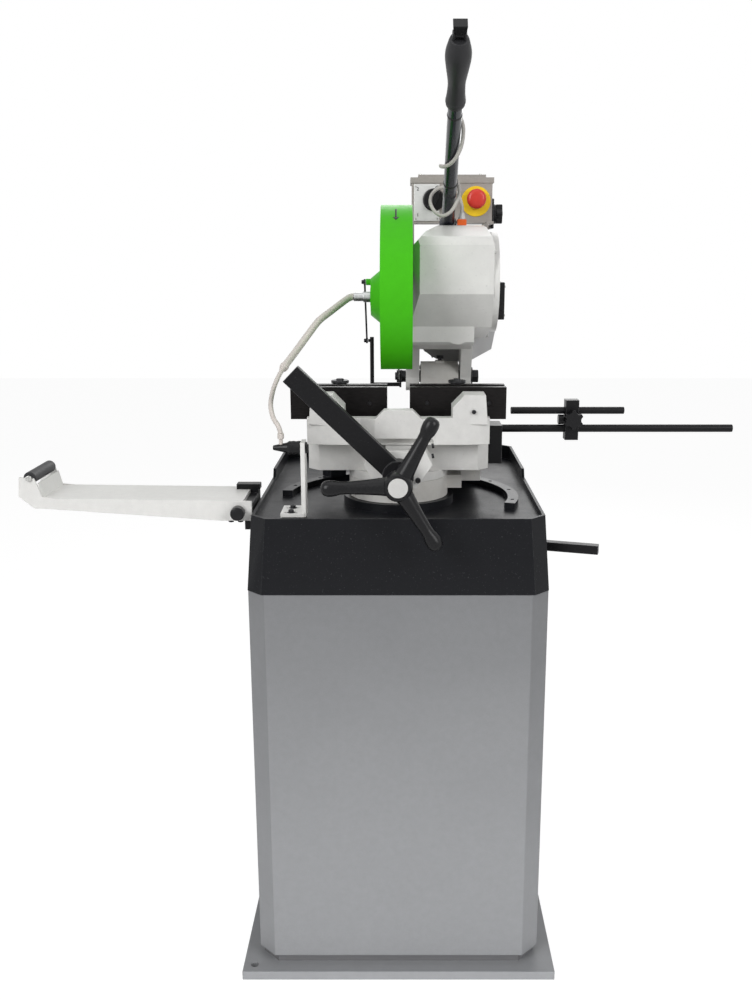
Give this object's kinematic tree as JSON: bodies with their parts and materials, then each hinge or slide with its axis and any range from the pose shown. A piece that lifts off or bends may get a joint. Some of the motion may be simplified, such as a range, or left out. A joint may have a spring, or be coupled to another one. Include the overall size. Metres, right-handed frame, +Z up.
{
  "type": "metal cut-off saw",
  "caption": "Pedestal metal cut-off saw: swivelling pull-down head with a guarded circular blade, self-centring vice, chip tray, cabinet, length stop and roller support arm.",
  "frame": {"origin": "on the floor, midway between the two floor bolts", "axes": "+X to the operator's right along the stock, +Y away from the operator, +Z up"},
  "size_m": [1.252, 0.748, 1.6179],
  "materials": {
    "grey_paint": "satin grey powder coat",
    "black_cast": "black textured paint on cast metal",
    "black_steel": "black oxide and paint on steel",
    "white_cast": "off-white enamel on cast iron",
    "white_alu": "off-white enamel on cast aluminium",
    "white_sheet": "off-white enamel on folded sheet",
    "bright_steel": "machined steel",
    "bronze": "machined bronze",
    "motor_grey": "light grey paint on cast aluminium",
    "green_paint": "gloss green powder coat",
    "box_grey": "warm grey die casting",
    "black_plastic": "moulded black plastic",
    "face_plate": "satin anodised plate and yellow disc",
    "red_plastic": "moulded red plastic",
    "hose_white": "soft off-white hose",
    "cable_grey": "grey cable sheath",
    "fittings": "plugs and level glass"
  },
  "bodies": {
    "base": {"base_plate": "grey_paint", "cabinet": "grey_paint", "tray": "black_cast", "swivel_track": "black_steel", "pivot_column": "bright_steel", "vice_body": "white_cast", "stop_bracket": "black_steel", "stop_rod": "black_steel", "tap_bracket": "white_sheet", "coolant_tap": "black_plastic", "coolant_tank": "bright_steel", "coolant_pump": "black_cast", "arm_mount": "black_steel", "roller_arm": "white_sheet", "frame_screws": "black_steel"},
    "door": {"cabinet_door": "grey_paint"},
    "latch": {"door_handle": "black_plastic"},
    "lock": {"lock_lever": "black_steel"},
    "support_roller": {"roller": "black_plastic"},
    "arm_screw": {"arm_knob": "black_plastic"},
    "front_slide": {"front_carrier": "white_cast", "front_jaws": "black_steel"},
    "rear_slide": {"rear_carrier": "white_cast", "rear_jaws": "black_steel", "jaw_knobs": "black_steel"},
    "vice_wheel": {"vice_screw": "bright_steel", "handwheel": "black_cast"},
    "quick_clamp": {"clamp_lever": "black_steel"},
    "stop_slide": {"stop_block": "black_steel"},
    "finger": {"stop_finger": "black_steel"},
    "block_knob": {"stop_knob": "black_plastic"},
    "side_knob": {"stop_side_knob": "black_plastic"},
    "swivel": {"swivel_arm": "white_cast", "pivot_pin": "black_steel", "guard_rod": "black_steel", "head_spring": "bright_steel", "coolant_hose": "hose_white"},
    "link": {"guard_link": "black_steel"},
    "head": {"gear_case": "white_alu", "gear_cover": "white_alu", "bearings": "bright_steel", "motor_housing": "motor_grey", "fan_cover": "black_plastic", "terminal_box": "black_plastic", "fixed_guard": "green_paint", "handle_tube": "black_steel", "handle_grip": "black_plastic", "control_box": "box_grey", "box_plates": "face_plate", "case_fittings": "fittings", "control_cable": "cable_grey"},
    "blade_set": {"spindle": "bright_steel", "blade": "bright_steel", "worm_wheel": "bronze"},
    "rotor": {"motor_shaft": "bright_steel"},
    "guard": {"moving_guard": "green_paint"},
    "switch": {"trigger": "black_plastic"},
    "estop": {"estop_button": "red_plastic"},
    "selector": {"selector_knob": "black_plastic"},
    "isolator": {"isolator_knob": "black_plastic"}
  },
  "joints": [
    {"name": "door_hinge", "type": "hinge", "parent": "base", "child": "door", "pos_m": [-0.197, 0.3113, 0.36], "axis": [0, 0, 1], "range_deg": [0, 110]},
    {"name": "latch_turn", "type": "hinge", "parent": "door", "child": "latch", "pos_m": [0.158, 0.31, 0.36], "axis": [0, 1, 0], "range_deg": [-90, 0]},
    {"name": "swivel_lock", "type": "hinge", "parent": "base", "child": "lock", "pos_m": [0, -0.119, 0.773], "axis": [0, 0, 1], "range_deg": [0, 14]},
    {"name": "roller_spin", "type": "hinge", "parent": "base", "child": "support_roller", "pos_m": [-0.62, -0.185, 0.901], "axis": [0, 1, 0], "continuous": true},
    {"name": "arm_knob_turn", "type": "hinge", "parent": "base", "child": "arm_screw", "pos_m": [-0.27, -0.24, 0.844], "axis": [0, 1, 0], "range_deg": [-180, 180]},
    {"name": "vice_wheel_turn", "type": "hinge", "parent": "base", "child": "vice_wheel", "pos_m": [0, -0.25, 0.912], "axis": [0, -1, 0], "range_deg": [-440, 1575]},
    {"name": "front_jaw_slide", "type": "slide", "parent": "base", "child": "front_slide", "axis": [0, -1, 0], "range_m": [-0.0099, 0.0351]},
    {"name": "rear_jaw_slide", "type": "slide", "parent": "base", "child": "rear_slide", "axis": [0, 1, 0], "range_m": [-0.0099, 0.0351]},
    {"name": "clamp_lever_turn", "type": "hinge", "parent": "base", "child": "quick_clamp", "pos_m": [0, -0.265, 0.912], "axis": [0, 1, 0], "range_deg": [0, 60]},
    {"name": "stop_block_slide", "type": "slide", "parent": "base", "child": "stop_slide", "axis": [1, 0, 0], "range_m": [-0.015, 0.27]},
    {"name": "stop_finger_slide", "type": "slide", "parent": "stop_slide", "child": "finger", "axis": [1, 0, 0], "range_m": [0, 0.08]},
    {"name": "stop_knob_turn", "type": "hinge", "parent": "stop_slide", "child": "block_knob", "pos_m": [0.316, -0.08, 0.9765], "axis": [0, 1, 0], "range_deg": [-180, 180]},
    {"name": "stop_side_knob_turn", "type": "hinge", "parent": "stop_slide", "child": "side_knob", "pos_m": [0.29, -0.06, 0.9735], "axis": [1, 0, 0], "range_deg": [-180, 180]},
    {"name": "head_swivel", "type": "hinge", "parent": "base", "child": "swivel", "pos_m": [0, -0.119, 0.87], "axis": [0, 0, 1], "range_deg": [0, 45], "deforming": ["coolant_hose"]},
    {"name": "head_pull", "type": "hinge", "parent": "swivel", "child": "head", "pos_m": [0.082, 0.175, 1.026], "axis": [-1, 0, 0], "range_deg": [-33, 0], "stiffness_Nm_per_rad": 60, "springref_deg": 34.38, "deforming": ["head_spring", "coolant_hose"]},
    {"name": "guard_swing", "type": "hinge", "parent": "head", "child": "guard", "pos_m": [-0.04, 0.035, 1.19], "axis": [-1, 0, 0], "range_deg": [0, 70]},
    {"name": "link_swing", "type": "hinge", "parent": "swivel", "child": "link", "pos_m": [-0.06, 0.15, 1.1], "axis": [-1, 0, 0], "range_deg": [-49.7, 0]},
    {"name": "motor_spin", "type": "hinge", "parent": "head", "child": "rotor", "pos_m": [0.11, 0.25, 1.13], "axis": [0, 1, 0], "continuous": true},
    {"name": "blade_spin", "type": "hinge", "parent": "head", "child": "blade_set", "pos_m": [0.05, 0.035, 1.19], "axis": [1, 0, 0], "continuous": true},
    {"name": "trigger_press", "type": "hinge", "parent": "head", "child": "switch", "pos_m": [0.0955, -0.21617, 1.59793], "axis": [1, 0, 0], "range_deg": [0, 8], "stiffness_Nm_per_rad": 1},
    {"name": "stop_button_press", "type": "slide", "parent": "head", "child": "estop", "axis": [0, 1, 0], "range_m": [0, 0.006]},
    {"name": "selector_turn", "type": "hinge", "parent": "head", "child": "selector", "pos_m": [0.071, 0.25, 1.376], "axis": [0, 1, 0], "range_deg": [-60, 60]},
    {"name": "isolator_turn", "type": "hinge", "parent": "head", "child": "isolator", "pos_m": [0.2, 0.306, 1.35], "axis": [1, 0, 0], "range_deg": [0, 90]}
  ],
  "couplings": [
    {"joint": "front_jaw_slide", "follows": "vice_wheel_turn", "m_per_rad": 0.0012732},
    {"joint": "rear_jaw_slide", "follows": "vice_wheel_turn", "m_per_rad": 0.0012732},
    {"joint": "guard_swing", "follows": "head_pull", "ratio": -2.12},
    {"joint": "link_swing", "follows": "head_pull", "ratio": 1.503},
    {"joint": "blade_spin", "follows": "motor_spin", "ratio": 0.028571}
  ]
}
